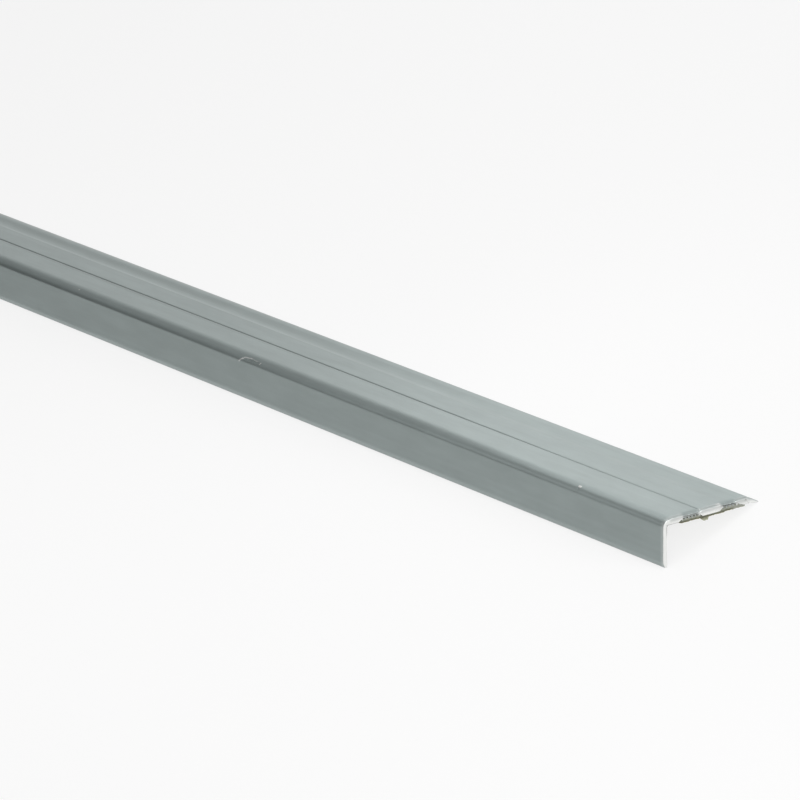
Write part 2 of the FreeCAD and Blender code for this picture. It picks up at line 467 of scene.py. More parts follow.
@dataclass(frozen=True)
class RestingPose:
    """How the profile lies on the floor on its foot and its toe, like a small roof."""

    lean: float
    shift_across: float
    shift_up: float
    half_length: float

    @classmethod
    def of(cls, section: Section, length: float) -> "RestingPose":
        """Pose in which foot and toe stand on the floor and the section is centred.

        The lean is the angle of the line from the foot's inner corner to the toe.

        Args:
            section: Cross section of the profile.
            length: Length of the profile.

        Returns:
            The pose.
        """
        outer, inner = section.ribbon()
        rise = section.leg_height - section.toe_depth()
        lean = math.atan2(rise, section.flange_width - section.leg_wall)
        flat = cls(lean, 0.0, 0.0, length / 2.0)
        loop = np.concatenate([outer, inner])
        turned = flat.place(np.concatenate([np.zeros((len(loop), 1)), loop], 1)) / MM
        middle = (turned[:, 1].min() + turned[:, 1].max()) / 2.0
        return cls(lean, -middle, -turned[:, 2].min(), length / 2.0)

    def place(self, points: np.ndarray) -> np.ndarray:
        """Turn places on the section into places in the part's frame.

        y is across times the lean's cosine minus down times its sine, and z is minus across
        times the sine minus down times the cosine. Both are shifted, and all is in metres.

        Args:
            points: Rows of along, across and down in millimetres.

        Returns:
            Rows of x, y and z in metres.
        """
        along, across, down = points[:, 0], points[:, 1], points[:, 2]
        cosine, sine = math.cos(self.lean), math.sin(self.lean)
        y = across * cosine - down * sine + self.shift_across
        z = -across * sine - down * cosine + self.shift_up
        return np.stack([self.half_length + along, y, z], 1) * MM


@dataclass(frozen=True)
class Mark:
    """Nick, scrape or chip along a path on the outer side, given by along and girth."""

    path: tuple[Point, ...]
    width: float
    depth: float
    lip: float
    bare: float

    def distance(self, along: np.ndarray, girth: np.ndarray) -> np.ndarray:
        """Distance to the path, in widths.

        It is the least distance to any straight run, whose nearest point is the foot of the
        perpendicular, held between the run's ends.

        Args:
            along: Places along the length.
            girth: Places round the outer side, as large as along.

        Returns:
            The distance at each place.
        """
        corners = np.array(self.path)
        start = corners[:-1]
        run = corners[1:] - start
        offset = np.stack([along, girth], -1)[..., None, :] - start
        share = np.clip((offset * run).sum(-1) / (run**2).sum(-1), 0.0, 1.0)
        gap = offset - share[..., None] * run
        return np.sqrt((gap**2).sum(-1)).min(-1) / self.width

    def relief(self, along: np.ndarray, girth: np.ndarray) -> np.ndarray:
        """Height over the skin: a bell shaped dent with a low lip around it."""
        gap = self.distance(along, girth)
        return self.lip * np.exp(-5.0 * (gap - 1.6) ** 2) - self.depth * np.exp(-gap * gap)

    def gleam(self, along: np.ndarray, girth: np.ndarray) -> np.ndarray:
        """Share of bare metal, full near the path and none from 1.8 widths away."""
        return self.bare * (1.0 - smooth_step(self.distance(along, girth), 0.6, 1.8))


@dataclass(frozen=True)
class Patch:
    """Soft edged patch on a cut face, with a start, an end and a softness across and down.

    It shifts across by lean for each millimetre down from its middle depth.
    """

    strength: float
    across: Place
    down: Place
    lean: float = 0.0
    middle_depth: float = 0.25

    def level(self, across: np.ndarray, down: np.ndarray) -> np.ndarray:
        """Strength inside the patch, which falls to 0 around it."""
        upright = across - self.lean * (down - self.middle_depth)
        return self.strength * band(upright, *self.across) * band(down, *self.down)


@dataclass(frozen=True)
class Streak:
    """Soft edged streak along the skin, with a start, an end and a softness across.

    Its strength goes from one value near the near end to another further away.
    """

    near: float
    far: float
    across: Place
    rise_start: float = 40.0
    rise_end: float = 220.0

    def level(self, along: np.ndarray, across: np.ndarray) -> np.ndarray:
        """Strength inside the streak, which falls to 0 beside it."""
        rise = smooth_step(-along, self.rise_start, self.rise_end)
        return (self.near + (self.far - self.near) * rise) * band(across, *self.across)


@dataclass
class RibbonMesh:
    """Closed mesh of a ribbon section carried along its length, with a grid on each end.

    Outer and inner hold the places of both sides, one row of points for each station, from
    the far end to the near end.
    """

    outer: np.ndarray
    inner: np.ndarray
    cut_rows: int

    def points(self) -> np.ndarray:
        """All points: the rings, then the rows between both sides on the far and near end.

        A row's points divide the way from the outer to the inner side evenly.

        Returns:
            One row of columns for each vertex.
        """
        rings = np.concatenate([self.outer, self.inner[:, ::-1]], 1)
        columns = rings.shape[2]
        share = np.linspace(0.0, 1.0, self.cut_rows + 2)[1:-1, None, None]
        ends = [self.outer[end] * (1.0 - share) + self.inner[end] * share for end in (0, -1)]
        return np.concatenate([part.reshape(-1, columns) for part in (rings, *ends)])

    def on_cut(self) -> np.ndarray:
        """Whether a vertex is on an end's grid, its rim included.

        Returns:
            1 for each vertex on a grid and 0 for every other.
        """
        stations, width = self.outer.shape[:2]
        rings = np.zeros((stations, 2 * width))
        rings[[0, -1]] = 1.0
        return np.concatenate([rings.ravel(), np.ones(2 * self.cut_rows * width)])

    def end_grid(self, end: int) -> np.ndarray:
        """Vertices of an end's grid.

        Args:
            end: 0 for the far end and 1 for the near end.

        Returns:
            Vertex numbers, a row for each step from the outer to the inner side.
        """
        stations, width = self.outer.shape[:2]
        first = (stations - 1 if end else 0) * 2 * width
        start = stations * 2 * width + end * self.cut_rows * width
        rows = start + np.arange(self.cut_rows * width).reshape(self.cut_rows, width)
        outer = first + np.arange(width)
        inner = first + np.arange(2 * width - 1, width - 1, -1)
        return np.concatenate([outer[None], rows, inner[None]])

    def rim_face(self, end: int, edge: int) -> np.ndarray:
        """Face at an edge of the ribbon next to an end, with the grid's points on its rim.

        Args:
            end: 0 for the far end and 1 for the near end.
            edge: 0 for the edge at the first points of both sides and -1 for the other one.

        Returns:
            Vertex numbers round the face, with its outside out.
        """
        column = self.end_grid(end)[:, edge]
        next_station = 2 * self.outer.shape[1] * (1 - 2 * end)
        rim = np.concatenate([column, column[[-1, 0]] + next_station])
        return rim if (end == 0) == (edge == -1) else rim[::-1]

    def faces(self) -> tuple[np.ndarray, np.ndarray, np.ndarray]:
        """Faces with their outsides out, and the side that each belongs to.

        A ring runs left over the flange as seen from the near end, so a face goes along the
        ring first and then to the next station. All faces have four corners, apart from those
        at the ribbon's edges next to the ends, which the ends' grids join with more.

        Returns:
            Vertex numbers of all corners, the number of corners of each face and its side.
        """
        stations, width = self.outer.shape[:2]
        ring = np.arange(stations)[:, None] * 2 * width + np.arange(2 * width)
        ahead = np.roll(ring, -1, axis=1)
        drawn = np.stack([ring[:-1], ahead[:-1], ahead[1:], ring[1:]], -1)
        plain = np.ones(drawn.shape[:2], dtype=bool)
        plain[np.ix_([0, -1], [width - 1, -1])] = False
        drawn = drawn[plain]
        cuts = []
        for end in (0, 1):
            grid = self.end_grid(end)
            corners = [grid[:-1, :-1], grid[:-1, 1:], grid[1:, 1:], grid[1:, :-1]]
            quads = np.stack(corners, -1).reshape(-1, 4)
            cuts.append(quads if end else quads[:, ::-1])
        quads = np.concatenate([drawn, *cuts])
        rims = [self.rim_face(end, edge) for end in (0, 1) for edge in (0, -1)]
        sizes = np.array([4] * len(quads) + [len(rim) for rim in rims])
        sides = np.full(len(sizes), Side.DRAWN.value)
        sides[len(drawn) : len(quads)] = Side.CUT.value
        return np.concatenate([quads.ravel(), *rims]), sizes, sides

    def build(
        self, name: str, places: np.ndarray, tones: dict[str, np.ndarray]
    ) -> bpy.types.Object:
        """Put the mesh into the scene.

        Args:
            name: Name of the object and its mesh.
            places: Places of the vertices in the part's frame, in metres.
            tones: Values for each vertex that the finishes read, by attribute name.

        Returns:
            The new object, at the origin.
        """
        corners, sizes, sides = self.faces()
        mesh = bpy.data.meshes.new(name)
        mesh.vertices.add(len(places))
        mesh.vertices.foreach_set("co", places.astype(np.float32).ravel())
        mesh.loops.add(len(corners))
        mesh.loops.foreach_set("vertex_index", corners.astype(np.int32))
        mesh.polygons.add(len(sizes))
        mesh.polygons.foreach_set("loop_start", (np.cumsum(sizes) - sizes).astype(np.int32))
        mesh.polygons.foreach_set("material_index", sides.astype(np.int32))
        mesh.polygons.foreach_set("use_smooth", np.ones(len(sizes), dtype=bool))
        mesh.update(calc_edges=True)
        mesh.set_sharp_from_angle(angle=SHARP_ANGLE)
        for tone, values in tones.items():
            attribute = mesh.attributes.new(tone, "FLOAT", "POINT")
            attribute.data.foreach_set("value", values.astype(np.float32))
        return linked(name, mesh)


class Wiring:
    """Short way to place nodes in one node tree and to join their sockets."""

    def __init__(self, tree: bpy.types.NodeTree) -> None:
        """Start on a node tree, which is emptied."""
        self.tree = tree
        tree.nodes.clear()

    def node(
        self, kind: str, sockets: dict[int | str, object] | None = None, **settings: object
    ) -> bpy.types.Node:
        """Place a node.

        Args:
            kind: Node type.
            sockets: Values or output sockets for the node's inputs, by name or number.
            settings: Attributes of the node.

        Returns:
            The new node.
        """
        node = self.tree.nodes.new(kind)
        for setting, value in settings.items():
            setattr(node, setting, value)
        for key, value in (sockets or {}).items():
            if isinstance(value, Socket):
                self.tree.links.new(value, node.inputs[key])
            else:
                node.inputs[key].default_value = value
        return node

    def number(self, operation: str, *values: object) -> Socket:
        """Result of a Math node on numbers or sockets."""
        sockets = dict(enumerate(values))
        return self.node("ShaderNodeMath", sockets, operation=operation).outputs[0]

    def swing(self, noise: object, middle: float, span: float) -> Socket:
        """Value that crosses a span about its middle as a noise goes from 0 to 1."""
        return self.number("MULTIPLY_ADD", noise, span, middle - span / 2.0)

    def blend(self, share: object, first: object, second: object) -> Socket:
        """Colour mixed from two, by a share of the second."""
        sockets = {0: share, 6: first, 7: second}
        return self.node("ShaderNodeMix", sockets, data_type="RGBA").outputs[2]

    def weighted(self, first: object, weight: float, second: object, other: float) -> Socket:
        """Sum of two values, each times its weight."""
        return self.number("MULTIPLY_ADD", first, weight, self.number("MULTIPLY", second, other))

    def level(self, value: object, low: float, high: float, kind: str = "LINEAR") -> Socket:
        """Value held between 0 and 1 as it goes from low to high."""
        sockets = {0: value, 1: low, 2: high, 3: 0.0, 4: 1.0}
        return self.node("ShaderNodeMapRange", sockets, interpolation_type=kind).outputs[0]

    def grain(self, size: Place, detail: float, roughness: float, turn: float = 0.0) -> Socket:
        """Noise on Object coordinates.

        Args:
            size: Size of its features on each axis, in millimetres.
            detail: Number of finer layers.
            roughness: Weight of each finer layer.
            turn: Angle by which it is turned about x.

        Returns:
            The noise, between 0 and 1.
        """
        place = self.node("ShaderNodeTexCoord").outputs["Object"]
        scale = tuple(1.0 / (length * MM) for length in size)
        mapped = self.node("ShaderNodeMapping", {0: place, 2: (turn, 0.0, 0.0), 3: scale})
        sockets = {"Vector": mapped.outputs[0], "Scale": 1.0, "Detail": detail}
        sockets["Roughness"] = roughness
        return self.node("ShaderNodeTexNoise", sockets).outputs[0]

    def tone(self, name: str) -> Socket:
        """Value that the mesh carries for each vertex."""
        return self.node("ShaderNodeAttribute", attribute_name=name).outputs["Fac"]


class MaterialWiring(Wiring):
    """Wiring of a new material."""

    def __init__(self, name: str) -> None:
        """Make the material, with no nodes yet.

        Args:
            name: Name of the material.
        """
        self.material = bpy.data.materials.new(name)
        self.material.use_nodes = True
        super().__init__(self.material.node_tree)

    def bump(self, height: Socket, rise: float, strength: float) -> Socket:
        """Normal of a relief that rises by some millimetres as its height goes from 0 to 1."""
        sockets = {"Strength": strength, "Distance": rise * MM, "Height": height}
        return self.node("ShaderNodeBump", sockets).outputs[0]

    def shaded(self, sockets: dict[int | str, object]) -> bpy.types.Material:
        """The material, with a Principled shader that has these inputs."""
        return self.ended(self.node("ShaderNodeBsdfPrincipled", sockets))

    def ended(self, shader: bpy.types.Node) -> bpy.types.Material:
        """The material, with this shader as its surface."""
        self.node("ShaderNodeOutputMaterial", {0: shader.outputs[0]})
        return self.material


class EffectGroup:
    """Shader node group that several finishes share, with named inputs and outputs."""

    def __init__(self, name: str, inputs: dict[str, str], outputs: dict[str, str]) -> None:
        """Make the group and its sockets.

        Args:
            name: Name of the group.
            inputs: Socket types of the inputs, by name.
            outputs: Socket types of the outputs, by name.
        """
        self.tree = bpy.data.node_groups.new(name, "ShaderNodeTree")
        for way, sockets in (("INPUT", inputs), ("OUTPUT", outputs)):
            for label, kind in sockets.items():
                self.tree.interface.new_socket(label, in_out=way, socket_type=kind)
        self.wiring = Wiring(self.tree)
        self.given = self.wiring.node("NodeGroupInput").outputs

    def give(self, results: dict[str, Socket]) -> None:
        """Join the results to the group's outputs."""
        self.wiring.node("NodeGroupOutput", results)

    def placed(self, nodes: Wiring, sockets: dict[str, object]) -> bpy.types.bpy_prop_collection:
        """Outputs of the group when it stands in a node tree with these inputs."""
        return nodes.node("ShaderNodeGroup", sockets, node_tree=self.tree).outputs


def drawn_grain_group() -> EffectGroup:
    """Effect of drawing metal through a die: fine lines along the length and soft blotches.

    The lines are two noises stretched along x, and the blotches a slow noise with a little of
    the broad lines.

    Returns:
        The group. It makes the given colour lighter and darker by Depth, and gives the lines.
    """
    group = EffectGroup(
        "drawn_grain",
        {"Color": "NodeSocketColor", "Depth": "NodeSocketFloat"},
        {"Color": "NodeSocketColor", "Lines": "NodeSocketFloat"},
    )
    nodes = group.wiring
    fine = nodes.grain((190.0, 0.16, 0.16), 2.0, 0.6)
    broad = nodes.grain((320.0, 1.1, 1.1), 2.0, 0.5)
    blotch = nodes.grain((13.0, 3.2, 3.2), 4.0, 0.62)
    cloud = nodes.number("SUBTRACT", nodes.weighted(blotch, 1.0, broad, 0.5), 0.75)
    gain = nodes.number("MULTIPLY_ADD", cloud, group.given["Depth"], 1.0)
    sockets = {0: group.given["Color"], 3: gain}
    scaled = nodes.node("ShaderNodeVectorMath", sockets, operation="SCALE")
    lines = nodes.weighted(fine, 0.6, broad, 0.4)
    group.give({"Color": scaled.outputs[0], "Lines": lines})
    return group


def wear_and_painted_light_group() -> EffectGroup:
    """Effect of handling and sawing, and painted light: bare metal where the skin is off, painted
    highlights in the bare colour, and painted shade in recesses, pits and creases.

    Returns:
        The group, which mixes the bare colour and the painted shade colour in by the mesh's own
        tones.
    """
    group = EffectGroup(
        "wear_and_painted_light",
        {"Color": "NodeSocketColor", "Bare": "NodeSocketColor", "PaintedShade": "NodeSocketColor"},
        {"Color": "NodeSocketColor"},
    )
    nodes = group.wiring
    speckle = nodes.grain((0.5, 0.25, 0.25), 3.0, 0.7)
    edge = nodes.number("MULTIPLY", nodes.tone("bare"), nodes.swing(speckle, 1.0, 0.5))
    edge = nodes.level(edge, 0.08, 0.95)
    bright = nodes.blend(edge, group.given["Color"], group.given["Bare"])
    # The dark colour paints shade where the mesh's shade tone is high.
    group.give({"Color": nodes.blend(nodes.tone("painted_shade"), bright, group.given["PaintedShade"])})
    return group


@dataclass(frozen=True)
class DrawnMetal:
    """What the finishes of drawn aluminium share: die lines, bare spots, painted highlights and
    painted shade.
    """

    name: str
    colour: Colour
    # Dark colour that paints shade in recesses, pits and creases.
    painted_shade: Colour
    blotches: float
    metallic: float
    roughness: float
    roughness_span: float
    relief_rise: float
    relief_strength: float
    # Colour of bare metal, which also paints the highlights.
    bare: Colour = (0.86, 0.87, 0.85, 1.0)

    def relief(self, nodes: Wiring, lines: Socket) -> tuple[Socket, Socket]:
        """Height of the relief and the noise that the roughness follows: here the die lines."""
        return lines, lines

    def material(self, grain: EffectGroup, wear_and_painted_light: EffectGroup) -> bpy.types.Material:
        """Material of the finish.

        Args:
            grain: Effect of drawing the metal.
            wear_and_painted_light: Effect of handling and sawing, with painted highlights and
                painted shade.

        Returns:
            The new material.
        """
        nodes = MaterialWiring(self.name)
        drawn = grain.placed(nodes, {"Color": self.colour, "Depth": self.blotches})
        colours = {"Color": drawn["Color"], "Bare": self.bare, "PaintedShade": self.painted_shade}
        worn_and_painted = wear_and_painted_light.placed(nodes, colours)
        height, gloss = self.relief(nodes, drawn["Lines"])
        return nodes.shaded(
            {
                "Base Color": worn_and_painted["Color"],
                "Metallic": self.metallic,
                "Roughness": nodes.swing(gloss, self.roughness, self.roughness_span),
                "Normal": nodes.bump(height, self.relief_rise, self.relief_strength),
            }
        )


@dataclass(frozen=True)
class AnodisedSkin(DrawnMetal):
    """Matt silver anodising on drawn aluminium."""

    name: str = "anodised_skin"
    colour: Colour = (0.388, 0.447, 0.439, 1.0)
    # Dark colour of the painted shade in the groove and the trough.
    painted_shade: Colour = (0.13, 0.14, 0.135, 1.0)
    blotches: float = 0.27
    metallic: float = 0.6
    roughness: float = 0.40
    roughness_span: float = 0.16
    relief_rise: float = 0.012
    relief_strength: float = 0.5


@dataclass(frozen=True)
class SawnAluminium(DrawnMetal):
    """Bare aluminium on the cut ends, with the saw's fine marks and small torn pits."""

    name: str = "sawn_aluminium"
    colour: Colour = (0.36, 0.385, 0.375, 1.0)
    # Dark colour of the painted shade on the cuts.
    painted_shade: Colour = (0.035, 0.036, 0.032, 1.0)
    blotches: float = 0.1
    metallic: float = 0.35
    roughness: float = 0.5
    roughness_span: float = 0.24
    relief_rise: float = 0.03
    relief_strength: float = 0.7
    mark_turn: float = math.radians(24.0)

    def relief(self, nodes: Wiring, lines: Socket) -> tuple[Socket, Socket]:
        """Height of the relief and the noise that the roughness follows.

        Args:
            nodes: Wiring of the material.
            lines: Not used; the saw has taken the die lines off.

        Returns:
            Saw marks that run down the cut with half as much of the pits, and the pits.
        """
        marks = nodes.grain((4.0, 0.09, 2.6), 3.0, 0.6, self.mark_turn)
        pits = nodes.grain((0.3, 0.3, 0.3), 4.0, 0.7)
        return nodes.weighted(marks, 1.0, pits, 0.5), pits


@dataclass(frozen=True)
class TackyAdhesive:
    """Dark olive mounting adhesive, slightly glossy, with drawn out blisters."""

    dark: Colour = (0.085, 0.09, 0.055, 1.0)
    light: Colour = (0.16, 0.165, 0.105, 1.0)
    smeared: Colour = (0.34, 0.35, 0.30, 1.0)
    roughness: float = 0.5
    roughness_span: float = 0.3
    blister_rise: float = 0.06

    def material(self) -> bpy.types.Material:
        """Material with a cloudy tone, small blisters and metal smeared into what is dragged.

        Returns:
            The new material.
        """
        nodes = MaterialWiring("tacky_adhesive")
        cloud = nodes.grain((6.0, 1.6, 1.6), 3.0, 0.6)
        blister = nodes.grain((0.7, 0.5, 0.5), 2.0, 0.5)
        body = nodes.blend(nodes.level(cloud, 0.3, 0.7), self.dark, self.light)
        smear = nodes.number("MULTIPLY", nodes.tone("drag"), nodes.swing(blister, 0.9, 0.6))
        return nodes.shaded(
            {
                "Base Color": nodes.blend(nodes.level(smear, 0.0, 1.0), body, self.smeared),
                "Roughness": nodes.swing(blister, self.roughness, self.roughness_span),
                "Normal": nodes.bump(blister, self.blister_rise, 0.6),
            }
        )


@dataclass(frozen=True)
class GlassinePaper:
    """Pale yellow release paper with a smooth coated face, faint fibres and torn bits that are
    soiled and carry painted shade where they hang down.
    """

    light: Colour = (0.80, 0.77, 0.58, 1.0)
    dark: Colour = (0.66, 0.62, 0.42, 1.0)
    # Colour of soiled bits, which also paints shade on the hanging tab.
    soiled_and_shaded: Colour = (0.50, 0.51, 0.38, 1.0)
    roughness: float = 0.365
    roughness_span: float = 0.25
    fibre_rise: float = 0.02
    coat: float = 0.15
    coat_roughness: float = 0.3

    def material(self) -> bpy.types.Material:
        """Material with fibres, a cloudy tone and a weak coat.

        Returns:
            The new material.
        """
        nodes = MaterialWiring("glassine_paper")
        fibre = nodes.grain((1.8, 0.12, 0.12), 3.0, 0.65)
        cloud = nodes.grain((9.0, 5.0, 5.0), 3.0, 0.5)
        share = nodes.level(nodes.weighted(fibre, 0.45, cloud, 0.55), 0.32, 0.68)
        clean = nodes.blend(share, self.dark, self.light)
        return nodes.shaded(
            {
                "Base Color": nodes.blend(nodes.tone("drag"), clean, self.soiled_and_shaded),
                "Roughness": nodes.swing(fibre, self.roughness, self.roughness_span),
                "Coat Weight": self.coat,
                "Coat Roughness": self.coat_roughness,
                "Normal": nodes.bump(fibre, self.fibre_rise, 0.3),
            }
        )


@dataclass(frozen=True)
class CornerProfile:
    """The drawn aluminium profile with its two sawn ends and its few nicks."""

    section: Section
    pose: RestingPose
    length: float
    marks: tuple[Mark, ...]
    top_roll: float = 0.38
    web_roll: float = 0.08
    crisp_roll: float = 0.05
    inner_roll: float = 0.03
    roll_stretch: float = 1.9
    roll_unevenness: float = 0.22
    web_bend: float = 0.38
    bend_length: float = 1.8
    web_softness: float = 0.8
    far_share: float = 0.5
    ramp_step: float = 0.13
    torn_depth: float = 0.12
    wave_height: float = 0.02
    rim_bare: float = 0.36
    bent_bare: float = 0.16
    # Bare burr lip beside the rear channel, which also paints a highlight there.
    lip_bare_and_highlight: float = 0.8
    bevel_bare: float = 0.08
    # Painted highlight on the cut at the rear channel's near slope.
    channel_slope_highlight: Patch = Patch(0.75, (14.5, 15.2, 0.15), (0.1, 0.8, 0.1))
    # Painted highlight on the ramp and the edge before it, stronger away from the near end.
    ramp_highlight: Streak = Streak(0.0, 0.22, (20.9, 30.0, 0.7))
    # Painted shadow of the ramp's step: a dark line on the cut beside the step.
    step_shadow: Patch = Patch(0.3, (21.2, 21.32, 0.12), (0.2, 1.5, 0.1), 0.48)
    # Painted shade on the webs' cut faces over the channels.
    web_shade: float = 0.7
    # Painted shade along the inner corner of the cut.
    root_shade: float = 0.5
    # Painted shade in small pits on the cut faces.
    pit_shade: float = 0.45
    pit_radius: float = 0.16
    pits: tuple[Point, ...] = ((18.6, 0.33), (14.6, 1.0), (15.2, 1.1), (21.05, 0.2))
    # Painted shade in the fine groove, before it and in the trough, stronger away from the near
    # end.
    shade_streaks: tuple[Streak, ...] = (
        Streak(0.16, 0.34, (9.05, 9.35, 0.12)),
        Streak(0.0, 0.13, (8.4, 9.1, 0.6)),
        Streak(0.0, 0.14, (18.1, 19.3, 0.8)),
    )
    nick_spans: tuple[Point, ...] = ((132.6, 142.2), (25.4, 27.4), (203.9, 204.7))
    nick_step: float = 0.14
    cut_rows: int = 5

    def stations(self) -> np.ndarray:
        """Places along the length, close together at both ends and at the nicks.

        Returns:
            The places from the far end to the near end.
        """
        near = np.array([0.0, 0.015, 0.05, 0.1, 0.17, 0.25, 0.34, 0.45, 0.7, 1.2, 2.0, 3.5, 6.0])
        nicks = [np.arange(start, end, self.nick_step) for start, end in self.nick_spans]
        return stations_along(self.length, near, 10.0, 12.0, nicks)

    def outward(self, ring: np.ndarray) -> np.ndarray:
        """Outward direction at each point of a ring of across and down.

        It is the direction from the point before to the point after, turned by a right angle.

        Args:
            ring: Points of the closed section, over the outer side and back on the inner side.

        Returns:
            Unit vectors as rows of two.
        """
        course = np.roll(ring, -1, axis=0) - np.roll(ring, 1, axis=0)
        normal = np.stack([-course[:, 1], course[:, 0]], 1)
        return normal / np.linalg.norm(normal, axis=1, keepdims=True)

    def over_channels(self, across: np.ndarray) -> np.ndarray:
        """Level that is 1 above the glue channels' roofs and 0 over the solid stretches."""
        spans = [(channel.roof_start, channel.roof_end) for channel in self.section.channels]
        return np.max([band(across, *span, self.web_softness) for span in spans], axis=0)

    def rolled_depth(self, across: np.ndarray, girth: np.ndarray) -> np.ndarray:
        """Depth to which the saw has rolled the near cut's outer edge over.

        It has one value on the solid stretches of the flange, one over the channels and one
        past the corner, with smooth steps between. It is less towards the toe, and uneven.

        Args:
            across: Places across the outer side.
            girth: Way round the outer side to each place.

        Returns:
            The depth at each place.
        """
        rolled = self.top_roll + (self.web_roll - self.top_roll) * self.over_channels(across)
        corner = smooth_step(girth, -1.5, 0.2)
        rolled = rolled * (1.0 - corner) + self.crisp_roll * corner
        rolled = rolled * (1.0 - 0.7 * smooth_step(across, 22.5, 24.0))
        return rolled * (1.0 + self.roll_unevenness * ripple(across, (1.9, 3.1, 0.9), 2.0))

    def roll(self, back: np.ndarray, radius: np.ndarray) -> np.ndarray:
        """Drop of an edge that the saw has rolled over.

        The edge is a quarter of an ellipse that is as deep as the radius and stretched along
        the length. With e the distance behind the cut over the stretch, the drop is the radius
        minus the root of the radius squared less the square of the radius minus e.

        Args:
            back: Distance behind the cut, as a column.
            radius: Depth of the rolled edge at the cut, as a row.

        Returns:
            The drop on the grid of both.
        """
        reach = np.clip(radius - back / self.roll_stretch, 0.0, None)
        return radius - np.sqrt(np.clip(radius * radius - reach * reach, 0.0, None))

    def bend(self, back: np.ndarray) -> np.ndarray:
        """Drop of the thin webs, which the saw has bent down as a parabola towards the cut."""
        return self.web_bend * rise_to_cut(back, self.bend_length)

    def shaped(self) -> tuple[RibbonMesh, RibbonMesh]:
        """Carry the section along the length.

        Where the webs are bent, the roofs follow them in full and the channels' mouths not at
        all, so the teeth between are pressed together.

        Returns:
            The shaped ribbon, and the plain one with the girth as a fourth column.
        """
        outer, inner = self.section.ribbon()
        along = self.stations()[:, None]
        girth = self.section.girth(outer)
        ones = np.ones((len(along), len(outer)))
        sides = [
            np.stack([along * ones, side[:, 0] * ones, side[:, 1] * ones, way * ones], -1)
            for side, way in ((outer, girth), (inner, INNER_GIRTH))
        ]
        near = -along
        far = along + self.length
        rolled = self.rolled_depth(outer[:, 0], girth)
        sunk = self.roll(near, rolled) + self.roll(far, self.far_share * rolled)
        sunk = sunk - sum(mark.relief(sides[0][..., 0], sides[0][..., 3]) for mark in self.marks)
        tight = np.full(len(inner), self.inner_roll)
        raised = self.roll(near, tight) + self.roll(far, tight)
        bent = self.bend(near) + self.far_share * self.bend(far)
        bent = bent * self.over_channels(outer[:, 0])
        normals = self.outward(np.concatenate([outer, inner[::-1]]))
        directions = (normals[: len(outer)], normals[len(outer) :][::-1])
        shaped = []
        for side, direction, drop in zip(sides, directions, (sunk, raised)):
            share = np.clip(self.section.flange_thickness - side[..., 2], 0.0, 1.0)
            moved = side[..., :3].copy()
            moved[..., 1:] -= direction * drop[..., None]
            moved[..., 2] += bent * share
            shaped.append(moved)
        shaped[0][..., 2] += self.section.top.trough(along, outer[:, 0])
        return RibbonMesh(*shaped, self.cut_rows), RibbonMesh(*sides, self.cut_rows)

    def cut_relief(self, points: np.ndarray) -> np.ndarray:
        """How far the cut face stands in front of its plane.

        The ramp stands a step behind the rear block, the webs over the channels are torn back,
        and the rest waves by a few hundredths. All of it fades over a millimetre of length.

        Args:
            points: Rows of along, across, down and girth.

        Returns:
            The shift along the length, in millimetres.
        """
        along, across, down, _ = points.T
        step = self.ramp_step * smooth_step(across - 0.45 * (down - 0.3), 21.15, 21.45)
        uneven = 1.0 + 0.5 * ripple(across, (0.7, 1.3), 4.0)
        torn = self.torn_depth * self.over_channels(across) * uneven
        waves = self.wave_height * ripple(down + 0.4 * across, (1.1, 2.7), 1.3)
        return (waves - step - torn) * rise_to_cut(-along, 1.0)

    def bare_and_highlight_tone(self, points: np.ndarray, on_cut: np.ndarray) -> np.ndarray:
        """Share of bare metal: the cuts, the rim behind them, the foot's bevel and the nicks, with
        painted highlights.

        On the flange's cut it rises with depth from the rolled upper edge. It is low on the webs
        and teeth, where the saw has smeared the metal. A painted highlight lies on the cut at the
        rear channel's near slope and on the bare burr lip beside it, and another on the ramp and
        the edge before it, which grows away from the near end.

        Args:
            points: Rows of along, across, down and girth.
            on_cut: Level that is 1 on the cuts.

        Returns:
            The share for each row.
        """
        along, across, down, girth = points.T
        over = self.over_channels(across)
        shallow = smooth_step(across, 1.0, 2.2) * (1.0 - smooth_step(down, 0.3, 1.25))
        rear_block = band(across, 18.4, 21.2, 0.2)
        toe = smooth_step(across, 23.2, 23.6)
        solid = (1.0 - 0.48 * shallow) * (1.0 - 0.16 * rear_block) * (1.0 - 0.22 * toe)
        # The cut also takes a painted highlight at the rear channel's near slope.
        cut = np.maximum(solid * (1.0 - 0.85 * over), self.channel_slope_highlight.level(across, down))
        behind = np.minimum(-along, along - along.min())
        rim = self.rim_bare * (1.0 - smooth_step(behind, 0.0, 1.4)) * (1.0 - over)
        bent = self.bent_bare * (1.0 - smooth_step(behind, 0.2, 1.2)) * over
        # Bare burr lip beside the rear channel, which also paints a highlight.
        beside_channel = band(across, 14.4, 14.8, 0.25)
        lip = self.lip_bare_and_highlight * (1.0 - smooth_step(behind, 0.4, 0.9)) * beside_channel
        bevel = self.bevel_bare * smooth_step(down, 8.95, 9.15) * (across < 0.6)
        # The ramp's term is a painted highlight.
        skin = np.max([rim, bent, lip, bevel, self.ramp_highlight.level(along, across)], axis=0)
        skin = skin * (girth < INNER_GIRTH)
        nicks = [mark.gleam(along, girth) for mark in self.marks]
        return np.clip(np.max([on_cut * cut, (1.0 - on_cut) * skin, *nicks], axis=0), 0.0, 1.0)

